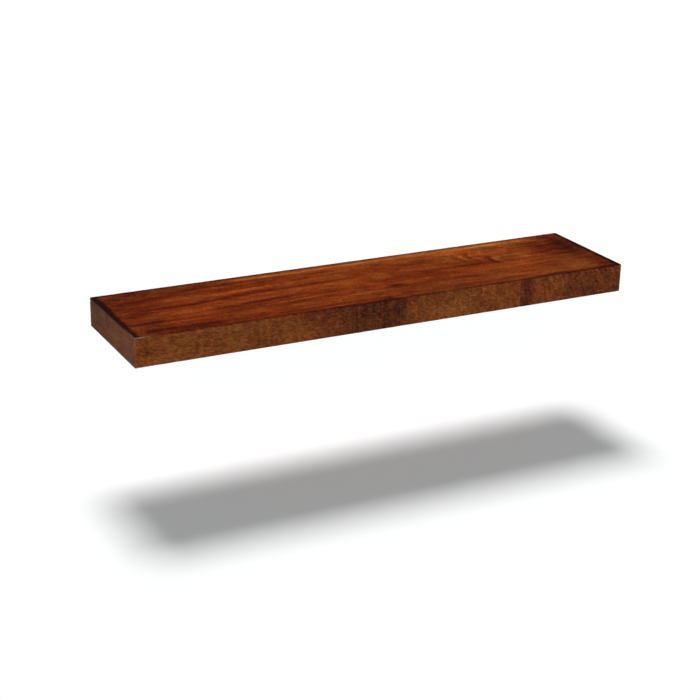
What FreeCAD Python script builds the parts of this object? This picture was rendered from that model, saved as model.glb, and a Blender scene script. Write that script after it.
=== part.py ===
"""Floating wall shelf: a hollow board of mitred veneered panels on a doweled timber frame,
which slides over the rods of a steel bracket screwed to the wall.

X runs along the shelf, Y towards the wall and Z up. The origin is the middle of the bracket's
back, so the wall is the plane Y = 0 and the shelf's front is at Y = -shelfDepth. Sizes are in
millimetres, and every one of them comes from the sheet of dimensions.
"""
import FreeCAD, Part
import os
import re
import Sketcher

# name, millimetres, what it is
DIMENSIONS = [
    ("shelfLength", 914, "outside length, 36 in"),
    ("shelfDepth", 208, "outside depth, wall to front"),
    ("shelfThickness", 50, "outside thickness: 38 mm timbers between the panels"),
    ("panelThickness", 6, "veneered board of the six outer panels"),
    ("edgeRadius", 1.2, "easing of the outside edges"),
    ("seamOffset", 247, "butt seam of the front edge, right of the middle"),
    ("frontRailWidth", 18, "frame rail behind the front edge"),
    ("sideRailWidth", 18, "frame rails at the ends, and the plain ribs"),
    ("backRailWidth", 18, "frame rail that the rods pass through"),
    ("recessDepth", 6.5, "wall to back rail: room for the bracket"),
    ("rodBlockWidth", 36, "bored blocks that ride on the rods"),
    ("rodPitch", 360, "middle rod to outer rod"),
    ("ribPitch", 180, "middle of the shelf to a plain rib"),
    ("plateLength", 800, "bracket plate"),
    ("plateHeight", 30, "bracket plate"),
    ("plateThickness", 5, "bracket plate"),
    ("plateCorner", 3, "corner radius of the plate"),
    ("rodDiameter", 12, "bracket rod"),
    ("rodReach", 150, "rod length in front of the plate"),
    ("rodNose", 1.5, "chamfer at the rod's tip"),
    ("weldLeg", 3, "fillet weld round each rod's root"),
    ("boreClearance", 0.3, "rod to bore, on the radius"),
    ("boreEnd", 160, "wall to the blind end of the bores"),
    ("weldRelief", 20, "diameter of the relief round each weld"),
    ("wallHole", 5.5, "wall screw hole in the plate"),
    ("wallHead", 11, "countersink for the screw's head"),
    ("wallHolePitch", 203.2, "8 in, so two holes reach studs 16 in apart"),
    ("dowelDiameter", 8, "frame dowel"),
    ("dowelLength", 24, "half in each timber"),
    ("dowelRise", 9, "dowel above and below the middle of a rib"),
    ("dowelSpread", 12.5, "dowel beside the bore of a rod block"),
    ("lockSetback", 70, "wall to the lock screws"),
    ("lockDiameter", 5.9, "M6 socket set screw"),
    ("lockLength", 14, "M6 socket set screw"),
    ("lockPoint", 1, "chamfer of the screw's point"),
    ("lockTipGap", 0.05, "screw's tip to rod, tightened"),
    ("hexWidth", 3, "socket across flats"),
    ("hexDepth", 4, "socket depth"),
    ("insertBore", 6.06, "brass insert, inside"),
    ("insertDiameter", 10, "brass insert, outside"),
    ("insertFlange", 16, "brass insert's flange"),
    ("insertFlangeThickness", 1.5, "flush with the underside"),
    ("insertTop", 8, "middle of the board to the insert's top"),
    ("insertChamfer", 0.5, "mouth of the insert's bore"),
]

# places that several pieces share, worked out from the dimensions
HALF_LENGTH = "(shelfLength / 2)"
HALF_THICKNESS = "(shelfThickness / 2)"
INSIDE_LENGTH = "(shelfLength - 2 * panelThickness)"
INSIDE_HEIGHT = "(shelfThickness - 2 * panelThickness)"
FRONT_RAIL_FRONT = "(panelThickness - shelfDepth)"
FRONT_RAIL_BACK = "(panelThickness + frontRailWidth - shelfDepth)"
BACK_RAIL_FRONT = "(-1 * recessDepth - backRailWidth)"
RIB_LENGTH = "(shelfDepth - panelThickness - frontRailWidth - backRailWidth - recessDepth)"
END_RAIL_LENGTH = "(shelfDepth - panelThickness - frontRailWidth)"
END_RAIL_INSIDE = "(shelfLength / 2 - panelThickness - sideRailWidth)"
END_RAIL_MIDDLE = "(shelfLength / 2 - panelThickness - sideRailWidth / 2)"
ROD_BORE = "(rodDiameter + 2 * boreClearance)"

LEFT, MIDDLE, RIGHT = -1, 0, 1
SIDES = {LEFT: "left", MIDDLE: "centre", RIGHT: "right"}
TOUCH = 0.01  # two places nearer than this are the same

doc = FreeCAD.newDocument("FloatingShelf")
sheet = doc.addObject("Spreadsheet::Sheet", "Dimensions")
pieces = []  # the finished pieces, one file each


# expressions and placing

def fill_sheet():
    """One row per dimension: what it is, its value, and its name as the cell's alias."""
    for row, (alias, value, note) in enumerate(DIMENSIONS, start=1):
        sheet.set(f"A{row}", note)
        sheet.set(f"B{row}", str(value))
        sheet.setAlias(f"B{row}", alias)
    doc.recompute()


def dim(expression):
    """Writes shelfLength as Dimensions.shelfLength, and so for every name of the sheet."""
    names = "|".join(alias for alias, _, _ in DIMENSIONS)
    return re.sub(rf"\b({names})\b", r"Dimensions.\1", expression)


def bind(thing, **sizes):
    """Binds properties to expressions; a double underscore in a name stands for a dot."""
    for name, expression in sizes.items():
        thing.setExpression(name.replace("__", "."), dim(expression))
    return thing


def place(thing, x="0", y="0", z="0", axis=None, turn=0):
    """Puts a thing's own origin at x, y, z, turned about an axis by so many degrees."""
    if axis:
        rotation = FreeCAD.Rotation(FreeCAD.Vector(*axis), turn)
        thing.Placement = FreeCAD.Placement(FreeCAD.Vector(), rotation)
    return bind(thing, Placement__Base__x=x, Placement__Base__y=y, Placement__Base__z=z)


def keep(thing, label):
    """Names a finished piece, which also names its file."""
    thing.Label = label
    pieces.append(thing)
    return thing


# sketches

def new_sketch(body, name, role, **offset):
    """A sketch on one of the body's own origin planes, moved within that plane or off it."""
    plane = next(feature for feature in body.Origin.OriginFeatures if feature.Role == role)
    sketch = body.newObject("Sketcher::SketchObject", name)
    sketch.AttachmentSupport = (plane, [""])
    sketch.MapMode = "FlatFace"
    for along, distance in offset.items():
        sketch.setExpression(f"AttachmentOffset.Base.{along}", dim(distance))
    return sketch


def close_outline(sketch, points):
    """Straight lines through rough points and back to the first, joined end to end."""
    count = len(points)
    for i, start in enumerate(points):
        end = points[(i + 1) % count]
        line = Part.LineSegment(FreeCAD.Vector(*start, 0), FreeCAD.Vector(*end, 0))
        sketch.addGeometry(line, False)
    for i in range(count):
        sketch.addConstraint(Sketcher.Constraint("Coincident", i, 2, (i + 1) % count, 1))


def measure(sketch, name, kind, ends, size):
    """A named distance in a sketch, bound to an expression."""
    roughly = 5
    index = sketch.addConstraint(Sketcher.Constraint(kind, *ends, roughly))
    sketch.renameConstraint(index, name)
    sketch.setExpression(f"Constraints.{name}", dim(size))


def square_up(sketch, ways):
    """Makes line 0, 1, 2 and so on horizontal or vertical: one letter for each line."""
    words = {"h": "Horizontal", "v": "Vertical"}
    for line, way in enumerate(ways):
        sketch.addConstraint(Sketcher.Constraint(words[way], line))


def rectangle(sketch, width, height):
    """A rectangle about the sketch's origin."""
    close_outline(sketch, [(-10, -5), (10, -5), (10, 5), (-10, 5)])
    square_up(sketch, "hvhv")
    sketch.addConstraint(Sketcher.Constraint("Symmetric", 0, 1, 2, 1, -1, 1))
    measure(sketch, "wide", "DistanceX", (0, 1, 0, 2), width)
    measure(sketch, "high", "DistanceY", (1, 1, 1, 2), height)


def circle(sketch, diameter):
    """A circle about the sketch's origin."""
    ring = sketch.addGeometry(Part.Circle(FreeCAD.Vector(), FreeCAD.Vector(0, 0, 1), 5), False)
    sketch.addConstraint(Sketcher.Constraint("Coincident", ring, 3, -1, 1))
    measure(sketch, "across", "Diameter", (ring,), diameter)


def hexagon(sketch, flats):
    """A regular hexagon about the sketch's origin, sized across its flats."""
    corners = [(2, 0), (1, 1.7), (-1, 1.7), (-2, 0), (-1, -1.7), (1, -1.7)]
    close_outline(sketch, corners)
    ring = sketch.addGeometry(Part.Circle(FreeCAD.Vector(), FreeCAD.Vector(0, 0, 1), 2), True)
    sketch.addConstraint(Sketcher.Constraint("Coincident", ring, 3, -1, 1))
    for line in range(len(corners)):
        sketch.addConstraint(Sketcher.Constraint("PointOnObject", line, 1, ring))
    for line in range(1, len(corners)):
        sketch.addConstraint(Sketcher.Constraint("Equal", 0, line))
    sketch.addConstraint(Sketcher.Constraint("Horizontal", 1))
    measure(sketch, "flats", "DistanceY", (4, 1, 1, 1), flats)


# features and booleans

def extrude(kind, body, sketch, length, backwards=False):
    """A Pad or a Pocket of a sketch, along the sketch's own direction or against it."""
    feature = body.newObject(f"PartDesign::{kind}", sketch.Name + kind)
    feature.Profile = sketch
    feature.Reversed = backwards
    return bind(feature, Length=length)


def revolve(body, sketch):
    """A full turn about the sketch's own vertical axis."""
    feature = body.newObject("PartDesign::Revolution", sketch.Name + "Turn")
    feature.Profile = sketch
    feature.ReferenceAxis = (sketch, ["V_Axis"])
    feature.Angle = 360
    return feature


def row_of(body, original, sketch, length, count):
    """Repeats a feature along the sketch's X axis; the length is from the first to the last."""
    feature = body.newObject("PartDesign::LinearPattern", original.Name + "Row")
    feature.Originals = [original]
    feature.Direction = (sketch, ["H_Axis"])
    feature.Occurrences = count
    body.Tip = feature
    return bind(feature, Length=length)


def dress(kind, body, base, chosen, size, amount):
    """A Fillet or Chamfer on the edges of a feature that pass a test of their bounding box."""
    doc.recompute()
    edges = enumerate(base.Shape.Edges, start=1)
    feature = body.newObject(f"PartDesign::{kind}", base.Name + kind)
    feature.Base = (base, [f"Edge{number}" for number, edge in edges if chosen(edge.BoundBox)])
    body.Tip = feature
    return bind(feature, **{size: amount})


def together(name, things):
    group = doc.addObject("Part::Compound", name)
    group.Links = things
    return group


def minus(base, tool):
    cut = doc.addObject("Part::Cut", base.Name + "Cut")
    cut.Base = base
    cut.Tool = tool
    return cut


# outer panels

def outer_envelope():
    """The whole board as one block, its outside edges eased except the four at the wall."""
    body = place(doc.addObject("PartDesign::Body", "Envelope"), z=f"-1 * {HALF_THICKNESS}")
    outline = new_sketch(body, "EnvelopeOutline", "XY_Plane", y="-1 * shelfDepth / 2")
    rectangle(outline, "shelfLength", "shelfDepth")
    block = extrude("Pad", body, outline, "shelfThickness")
    dress("Fillet", body, block, lambda box: box.YMin < -TOUCH, "Radius", "edgeRadius")
    return body


def panel(envelope, name, wide, inner_wide, high, inner_high, **position):
    """A slab as thick as a panel, outer face down, with the envelope's eased edges.

    Its outer face is wide by high and its inner face inner_wide by inner_high, each given as
    a low and a high end, so a side is a 45 degree mitre where the inner face ends sooner.
    """
    slab = doc.addObject("Part::Wedge", name + "Slab")
    bind(slab, Ymin="0", Ymax="panelThickness")
    bind(slab, Xmin=wide[0], Xmax=wide[1], X2min=inner_wide[0], X2max=inner_wide[1])
    bind(slab, Zmin=high[0], Zmax=high[1], Z2min=inner_high[0], Z2max=inner_high[1])
    common = doc.addObject("Part::Common", name)
    common.Base = envelope
    common.Tool = place(slab, **position)
    return common


def outer_panels(insert_holes):
    envelope = outer_envelope()
    along_x, along_z = (1, 0, 0), (0, 0, 1)
    whole_length = (f"-1 * {HALF_LENGTH}", HALF_LENGTH)
    inner_length = (f"panelThickness - {HALF_LENGTH}", f"{HALF_LENGTH} - panelThickness")
    whole_height = (f"-1 * {HALF_THICKNESS}", HALF_THICKNESS)
    inner_height = (f"panelThickness - {HALF_THICKNESS}", f"{HALF_THICKNESS} - panelThickness")
    # the depth as it lies along the slab's own axis: backwards on two of the four sides
    depth, inner_depth = ("-1 * shelfDepth", "0"), ("panelThickness - shelfDepth", "0")
    turned_depth, turned_inner_depth = ("0", "shelfDepth"), ("0", "shelfDepth - panelThickness")

    top = panel(
        envelope, "Top", whole_length, inner_length, depth, inner_depth,
        z=HALF_THICKNESS, axis=along_x, turn=-90,
    )
    keep(top, "top_panel")
    bottom = panel(
        envelope, "Bottom", whole_length, inner_length, turned_depth, turned_inner_depth,
        z=f"-1 * {HALF_THICKNESS}", axis=along_x, turn=90,
    )
    keep(minus(bottom, insert_holes), "bottom_panel")
    left = panel(
        envelope, "LeftEnd", turned_depth, turned_inner_depth, whole_height, inner_height,
        x=f"-1 * {HALF_LENGTH}", axis=along_z, turn=-90,
    )
    keep(left, "end_panel_left")
    right = panel(
        envelope, "RightEnd", depth, inner_depth, whole_height, inner_height,
        x=HALF_LENGTH, axis=along_z, turn=90,
    )
    keep(right, "end_panel_right")
    # the front edge is two lengths, butted square at the seam
    front_lengths = {
        "left": ((whole_length[0], "seamOffset"), (inner_length[0], "seamOffset")),
        "right": (("seamOffset", whole_length[1]), ("seamOffset", inner_length[1])),
    }
    for side, (wide, inner_wide) in front_lengths.items():
        front = panel(
            envelope, f"Front{side.title()}", wide, inner_wide, whole_height, inner_height,
            y="-1 * shelfDepth",
        )
        keep(front, f"front_edge_{side}")


# timber frame

def timber(name, width, depth, x, front):
    """A square-cut timber as high as the inside of the board; front is where it starts."""
    body = doc.addObject("PartDesign::Body", name)
    place(body, x=x, y=front, z=f"-1 * {INSIDE_HEIGHT} / 2")
    outline = new_sketch(body, name + "Outline", "XY_Plane", y=f"{depth} / 2")
    rectangle(outline, width, depth)
    extrude("Pad", body, outline, INSIDE_HEIGHT)
    return body


def dowel(x, y, z, axis):
    """A dowel with its middle at the joint, lying along Y or along X."""
    peg = doc.addObject("Part::Cylinder", "Dowel")
    bind(peg, Radius="dowelDiameter / 2", Height="dowelLength")
    if axis == "Y":
        return place(peg, x, f"{y} + dowelLength / 2", z, (1, 0, 0), 90)
    return place(peg, f"{x} - dowelLength / 2", y, z, (0, 1, 0), 90)


def frame_dowels():
    """Two dowels in every joint: one above the other, or beside the bore in a rod block."""
    joints = []
    for side in (LEFT, RIGHT):
        for level in (-1, 1):
            rise = f"{level} * dowelRise"
            joints.append((f"{side} * ribPitch", FRONT_RAIL_BACK, rise, "Y"))
            joints.append((f"{side} * ribPitch", BACK_RAIL_FRONT, rise, "Y"))
            joints.append((f"{side} * {END_RAIL_MIDDLE}", FRONT_RAIL_BACK, rise, "Y"))
            back_rail_middle = f"({BACK_RAIL_FRONT} + backRailWidth / 2)"
            joints.append((f"{side} * {END_RAIL_INSIDE}", back_rail_middle, rise, "X"))
    for side in SIDES:
        for beside in (-1, 1):
            x = f"{side} * rodPitch + {beside} * dowelSpread"
            joints.append((x, FRONT_RAIL_BACK, "0", "Y"))
            joints.append((x, BACK_RAIL_FRONT, "0", "Y"))
    return keep(together("Dowels", [dowel(*joint) for joint in joints]), "frame_dowels")


def front_and_end_rails(dowels):
    front = timber("FrontRail", INSIDE_LENGTH, "frontRailWidth", "0", FRONT_RAIL_FRONT)
    keep(minus(front, dowels), "front_rail")
    for side in (LEFT, RIGHT):
        name = f"EndRail{SIDES[side].title()}"
        x = f"{side} * {END_RAIL_MIDDLE}"
        rail = timber(name, "sideRailWidth", END_RAIL_LENGTH, x, FRONT_RAIL_BACK)
        keep(minus(rail, dowels), f"end_rail_{SIDES[side]}")


def back_rail(dowels):
    """The rail by the bracket: a bore for each rod, with a shallow relief for its weld."""
    rail = timber(
        "BackRail", f"({INSIDE_LENGTH} - 2 * sideRailWidth)", "backRailWidth", "0", BACK_RAIL_FRONT
    )
    cuts = {"RodBore": (ROD_BORE, "backRailWidth"), "WeldRelief": ("weldRelief", "weldLeg")}
    for name, (diameter, deep) in cuts.items():
        mouth = new_sketch(
            rail, name, "XZ_Plane", x="-1 * rodPitch", y=f"{INSIDE_HEIGHT} / 2", z="-1 * backRailWidth"
        )
        circle(mouth, diameter)
        hole = extrude("Pocket", rail, mouth, deep, backwards=True)
        row_of(rail, hole, mouth, "2 * rodPitch", len(SIDES))
    keep(minus(rail, dowels), "back_rail")


def ribs(dowels):
    for side in (LEFT, RIGHT):
        name = f"Rib{SIDES[side].title()}"
        rib = timber(name, "sideRailWidth", RIB_LENGTH, f"{side} * ribPitch", FRONT_RAIL_BACK)
        keep(minus(rib, dowels), f"rib_{SIDES[side]}")


def rod_blocks(dowels, insert_holes):
    """Wide ribs with a blind bore from the back; the outer two also take the brass inserts."""
    for side, word in SIDES.items():
        name = f"RodBlock{word.title()}"
        block = timber(name, "rodBlockWidth", RIB_LENGTH, f"{side} * rodPitch", FRONT_RAIL_BACK)
        mouth = new_sketch(
            block, name + "Bore", "XZ_Plane", y=f"{INSIDE_HEIGHT} / 2", z=f"-1 * {RIB_LENGTH}"
        )
        circle(mouth, ROD_BORE)
        extrude("Pocket", block, mouth, "boreEnd - recessDepth - backRailWidth", backwards=True)
        tools = [dowels] if side == MIDDLE else [dowels, insert_holes]
        keep(minus(block, together(name + "Holes", tools)), f"rod_block_{word}")


# lock screws

def insert_hole(side):
    """The stepped hole that a brass insert fills, open to the rod's bore at its top."""
    steps = {
        "Flange": ("insertFlange", HALF_THICKNESS, "insertFlangeThickness"),
        "Body": ("insertDiameter", HALF_THICKNESS, f"{HALF_THICKNESS} - insertTop"),
        "Tip": ("insertBore", "insertTop", "insertTop - rodDiameter / 2"),
    }
    for name, (diameter, below, high) in steps.items():
        step = doc.addObject("Part::Cylinder", f"Insert{name}{SIDES[side].title()}")
        bind(step, Radius=f"{diameter} / 2", Height=high)
        yield place(step, f"{side} * rodPitch", "-1 * lockSetback", f"-1 * {below}")


def threaded_insert(side):
    """Flanged brass bush, turned: its section on the right of the axis, then a full turn."""
    word = SIDES[side]
    body = doc.addObject("PartDesign::Body", f"Insert{word.title()}")
    place(body, f"{side} * rodPitch", "-1 * lockSetback", f"-1 * {HALF_THICKNESS}")
    section = new_sketch(body, f"InsertSection{word.title()}", "XZ_Plane")
    # from the bore's mouth: out to the flange, up, in, up the body, in, and down the bore
    close_outline(section, [(4, 0), (8, 0), (8, 1.5), (5, 1.5), (5, 16), (3, 16), (3, 0.5)])
    square_up(section, "hvhvhv")
    section.addConstraint(Sketcher.Constraint("PointOnObject", 0, 1, -1))
    measure(section, "mouth", "DistanceX", (-1, 1, 0, 1), "insertBore / 2 + insertChamfer")
    measure(section, "flange", "DistanceX", (-1, 1, 1, 1), "insertFlange / 2")
    measure(section, "rim", "DistanceY", (1, 1, 1, 2), "insertFlangeThickness")
    measure(section, "body", "DistanceX", (-1, 1, 3, 1), "insertDiameter / 2")
    measure(section, "high", "DistanceY", (-1, 1, 4, 1), f"{HALF_THICKNESS} - insertTop")
    measure(section, "bore", "DistanceX", (-1, 1, 5, 1), "insertBore / 2")
    measure(section, "lead", "DistanceY", (-1, 1, 6, 1), "insertChamfer")
    revolve(body, section)
    keep(body, f"threaded_insert_{word}")


def lock_screw(side):
    """Socket set screw: its point is up against the rod and its hexagon socket faces down."""
    word = SIDES[side]
    bottom = "-1 * rodDiameter / 2 - lockTipGap - lockLength"
    body = doc.addObject("PartDesign::Body", f"LockScrew{word.title()}")
    place(body, f"{side} * rodPitch", "-1 * lockSetback", bottom)
    shank = new_sketch(body, f"LockShank{word.title()}", "XY_Plane")
    circle(shank, "lockDiameter")
    stem = extrude("Pad", body, shank, "lockLength")
    top = sheet.get("lockLength") - TOUCH
    dress("Chamfer", body, stem, lambda box: box.ZMin > top, "Size", "lockPoint")
    socket = new_sketch(body, f"LockSocket{word.title()}", "XY_Plane")
    hexagon(socket, "hexWidth")
    extrude("Pocket", body, socket, "hexDepth", backwards=True)
    keep(body, f"lock_screw_{word}")


# wall bracket

def bracket_plate():
    """Flat bar with rounded corners and a row of four countersunk holes for the wall screws."""
    holes = 4
    body = place(doc.addObject("PartDesign::Body", "Plate"), z="-1 * plateHeight / 2")
    outline = new_sketch(body, "PlateOutline", "XY_Plane", y="-1 * plateThickness / 2")
    rectangle(outline, "plateLength", "plateThickness")
    bar = extrude("Pad", body, outline, "plateHeight")
    # only the corners' edges run through the bar's thickness
    dress(
        "Fillet", body, bar, lambda box: box.YLength > box.XLength + box.ZLength,
        "Radius", "plateCorner",
    )
    first = new_sketch(
        body, "WallHoleCentre", "XZ_Plane",
        x=f"-1 * {holes - 1} * wallHolePitch / 2", y="plateHeight / 2", z="plateThickness",
    )
    circle(first, "wallHole")
    doc.recompute()
    hole = body.newObject("PartDesign::Hole", "WallHole")
    hole.Profile = first
    doc.recompute()
    hole.ThreadType = "None"
    hole.DepthType = "ThroughAll"
    hole.HoleCutType = "Countersink"
    hole.HoleCutCountersinkAngle = 90
    bind(hole, Diameter="wallHole", HoleCutDiameter="wallHead")
    row_of(body, hole, first, f"{holes - 1} * wallHolePitch", holes)
    keep(body, "bracket_plate")


def bracket_rod(side):
    """A round bar square to the plate, with a chamfered tip that finds its bore."""
    word = SIDES[side]
    body = doc.addObject("PartDesign::Body", f"Rod{word.title()}")
    place(body, f"{side} * rodPitch", "-1 * plateThickness")
    section = new_sketch(body, f"RodSection{word.title()}", "XZ_Plane")
    circle(section, "rodDiameter")
    bar = extrude("Pad", body, section, "rodReach")
    tip = TOUCH - sheet.get("rodReach")
    dress("Chamfer", body, bar, lambda box: box.YMax < tip, "Size", "rodNose")
    keep(body, f"bracket_rod_{word}")


def weld_ring(side):
    """A triangular bead round the rod's root: one leg on the plate, one along the rod."""
    word = SIDES[side]
    body = doc.addObject("PartDesign::Body", f"Weld{word.title()}")
    place(body, f"{side} * rodPitch", "-1 * plateThickness")
    bead = new_sketch(body, f"WeldSection{word.title()}", "XY_Plane")
    close_outline(bead, [(6, 0), (9, 0), (6, -3)])
    bead.addConstraint(Sketcher.Constraint("Horizontal", 0))
    bead.addConstraint(Sketcher.Constraint("Vertical", 2))
    bead.addConstraint(Sketcher.Constraint("PointOnObject", 0, 1, -1))
    measure(bead, "inside", "DistanceX", (-1, 1, 0, 1), "rodDiameter / 2")
    measure(bead, "onPlate", "DistanceX", (0, 1, 0, 2), "weldLeg")
    measure(bead, "alongRod", "DistanceY", (2, 1, 2, 2), "weldLeg")
    revolve(body, bead)
    return body


# the part

def build():
    fill_sheet()
    insert_holes = together("InsertHoles", [*insert_hole(LEFT), *insert_hole(RIGHT)])
    outer_panels(insert_holes)
    dowels = frame_dowels()
    front_and_end_rails(dowels)
    back_rail(dowels)
    ribs(dowels)
    rod_blocks(dowels, insert_holes)
    for side in (LEFT, RIGHT):
        threaded_insert(side)
        lock_screw(side)
    bracket_plate()
    for side in SIDES:
        bracket_rod(side)
    keep(together("Welds", [weld_ring(side) for side in SIDES]), "rod_welds")
    doc.recompute()


def check():
    """Every object must have been made, and every piece must be one or more sound solids."""
    for thing in doc.Objects:
        if {"Invalid", "Error"} & set(thing.State):
            raise RuntimeError(f"{thing.Name} failed: {thing.State}")
    for piece in pieces:
        if piece.Shape.isNull() or not piece.Shape.isValid() or not piece.Shape.Solids:
            raise RuntimeError(f"{piece.Label} has no sound solid")


def write():
    os.makedirs("parts", exist_ok=True)
    for piece in pieces:
        piece.Shape.exportStep(f"parts/{piece.Label}.step")
        box = piece.Shape.BoundBox
        print(
            f"{piece.Label:24s} {len(piece.Shape.Solids):2d} solids {piece.Shape.Volume / 1000:9.3f} cm3"
            f"  x {box.XMin:8.2f} {box.XMax:8.2f}  y {box.YMin:8.2f} {box.YMax:8.2f}"
            f"  z {box.ZMin:7.2f} {box.ZMax:7.2f}"
        )


build()
check()
write()
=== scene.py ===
# Floating wall shelf: a hollow board in stained alder veneer on a hidden steel wall bracket.
import functools
import math

import bpy
import numpy as np
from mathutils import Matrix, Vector


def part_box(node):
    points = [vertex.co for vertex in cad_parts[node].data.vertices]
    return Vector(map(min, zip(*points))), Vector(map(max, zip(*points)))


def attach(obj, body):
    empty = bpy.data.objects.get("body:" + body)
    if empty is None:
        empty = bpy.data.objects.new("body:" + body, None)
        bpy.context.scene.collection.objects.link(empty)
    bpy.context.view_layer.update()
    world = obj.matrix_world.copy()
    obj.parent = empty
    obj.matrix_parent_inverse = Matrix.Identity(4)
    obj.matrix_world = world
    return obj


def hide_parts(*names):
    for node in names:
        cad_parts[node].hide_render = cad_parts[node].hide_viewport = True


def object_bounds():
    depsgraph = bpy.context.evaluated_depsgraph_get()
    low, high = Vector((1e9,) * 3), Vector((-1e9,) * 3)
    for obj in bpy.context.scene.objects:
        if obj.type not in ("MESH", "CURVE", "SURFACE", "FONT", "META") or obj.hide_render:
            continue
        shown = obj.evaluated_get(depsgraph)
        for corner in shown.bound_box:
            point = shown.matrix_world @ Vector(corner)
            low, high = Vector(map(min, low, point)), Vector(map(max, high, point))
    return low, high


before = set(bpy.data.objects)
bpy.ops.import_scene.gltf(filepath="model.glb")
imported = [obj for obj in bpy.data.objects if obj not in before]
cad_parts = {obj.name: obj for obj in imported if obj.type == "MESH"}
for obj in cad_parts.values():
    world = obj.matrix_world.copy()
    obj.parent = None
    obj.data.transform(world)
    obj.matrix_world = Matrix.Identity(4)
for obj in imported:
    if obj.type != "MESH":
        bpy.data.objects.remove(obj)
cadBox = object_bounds()
mm = 0.001


# where things are, read from the frame, in millimetres

def nodeBox(name):
    low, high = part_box(name)
    return np.array(low) / mm, np.array(high) / mm


def nodeCentre(name):
    low, high = nodeBox(name)
    return (low + high) / 2


boardLow, boardHigh = (np.array(corner) / mm for corner in cadBox)
boardLength, boardDepth, boardThickness = boardHigh - boardLow
panelThickness = nodeBox("top_panel")[1][2] - nodeBox("top_panel")[0][2]


# meshes

def smoothNoise(x, y, seed):
    # value noise of about -1 to 1: random numbers on a unit lattice, joined by a smooth step
    lattice = 128
    numbers = np.random.default_rng(seed).uniform(-1, 1, (lattice, lattice))
    i, j = np.floor(x).astype(int), np.floor(y).astype(int)
    u, v = (t * t * (3 - 2 * t) for t in (x - i, y - j))

    def corner(di, dj):
        return numbers[(i + di) % lattice, (j + dj) % lattice]

    near = corner(0, 0) * (1 - u) + corner(1, 0) * u
    far = corner(0, 1) * (1 - u) + corner(1, 1) * u
    return near * (1 - v) + far * v


def smoothStep(x, start, end):
    t = np.clip((x - start) / (end - start), 0, 1)
    return t * t * (3 - 2 * t)


def gridFaces(rows, columns, closedRows=False, closedColumns=False):
    # quads of a grid of points numbered row by row; a closed way joins its last line to its first
    i = np.arange(rows if closedRows else rows - 1)[:, None]
    j = np.arange(columns if closedColumns else columns - 1)[None, :]
    nextI, nextJ = (i + 1) % rows, (j + 1) % columns
    corners = (i * columns + j, nextI * columns + j, nextI * columns + nextJ, i * columns + nextJ)
    return np.stack(np.broadcast_arrays(*corners), -1).reshape(-1, 4)


def capFaces(rows, columns):
    # a tube of rings, closed by a fan of triangles to a pole before its first ring and after its last
    j = np.arange(columns)
    after = (j + 1) % columns
    last = (rows - 1) * columns
    lowPole, highPole = rows * columns, rows * columns + 1
    lowFan = np.stack([np.full(columns, lowPole), after, j], -1)
    highFan = np.stack([np.full(columns, highPole), last + j, last + after], -1)
    sides = gridFaces(rows, columns, closedColumns=True)[:, ::-1]
    return [*lowFan, *sides, *highFan]


def turnedPoints(centre, radius, height, angle):
    # points at each radius and height, turned by each angle about the upright axis through the centre
    x = centre[0] + radius * np.cos(angle)
    y = centre[1] + radius * np.sin(angle)
    return np.stack([x, y, np.broadcast_to(height, x.shape)], -1).reshape(-1, 3)


def turnAngles(columns):
    return np.linspace(0, 2 * np.pi, columns, endpoint=False)[None, :]


def newPiece(name, points, faces, sharpAngle=35):
    # one mesh object at the origin from points in millimetres
    mesh = bpy.data.meshes.new(name)
    mesh.from_pydata((np.asarray(points) * mm).tolist(), [], [list(map(int, face)) for face in faces])
    mesh.shade_smooth()
    mesh.set_sharp_from_angle(angle=math.radians(sharpAngle))
    piece = bpy.data.objects.new(name, mesh)
    bpy.context.scene.collection.objects.link(piece)
    return piece


def finishPiece(piece, material, body, node):
    piece.data.materials.append(material)
    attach(piece, body)
    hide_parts(node)


def paintNode(name, material):
    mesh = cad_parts[name].data
    mesh.materials.clear()
    mesh.materials.append(material)


def setAttribute(mesh, name, values):
    attribute = mesh.attributes.new(name, "FLOAT", "POINT")
    attribute.data.foreach_set("value", np.asarray(values, np.float32))


def pointsOf(mesh):
    points = np.empty(len(mesh.vertices) * 3)
    mesh.vertices.foreach_get("co", points)
    return points.reshape(-1, 3) / mm


# node trees

def linearColour(hexColour):
    # sRGB hex to the linear colour that a shader wants
    parts = np.array([int(hexColour[i:i + 2], 16) / 255 for i in (1, 3, 5)])
    linear = np.where(parts <= 0.04045, parts / 12.92, ((parts + 0.055) / 1.055) ** 2.4)
    return (*linear.tolist(), 1.0)


def addNode(tree, kind, inputs=(), stops=(), **settings):
    # One shader node with its settings and links. Inputs are a list in order or a dictionary, and each
    # takes a value, a socket or a node, which stands for its first output in use; a colour Mix has its
    # two colours at 6 and 7. Stops are the places and colours of a ramp.
    node = tree.nodes.new(f"ShaderNode{kind}")
    for name, value in settings.items():
        setattr(node, name, value)
    for key, value in inputs.items() if isinstance(inputs, dict) else enumerate(inputs):
        if isinstance(value, bpy.types.Node):
            value = next(socket for socket in value.outputs if socket.enabled)
        if isinstance(value, bpy.types.NodeSocket):
            tree.links.new(value, node.inputs[key])
        else:
            node.inputs[key].default_value = value
    if stops:
        elements = node.color_ramp.elements
        elements.remove(elements[1])
        elements[0].position, elements[0].color = stops[0][0], linearColour(stops[0][1])
        for place, colour in stops[1:]:
            elements.new(place).color = linearColour(colour)
    return node


def newMaterial(name):
    # a bare material, and addNode with the material's own tree already given
    material = bpy.data.materials.new(name)
    material.use_nodes = True
    material.node_tree.nodes.clear()
    return material, functools.partial(addNode, material.node_tree)


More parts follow.
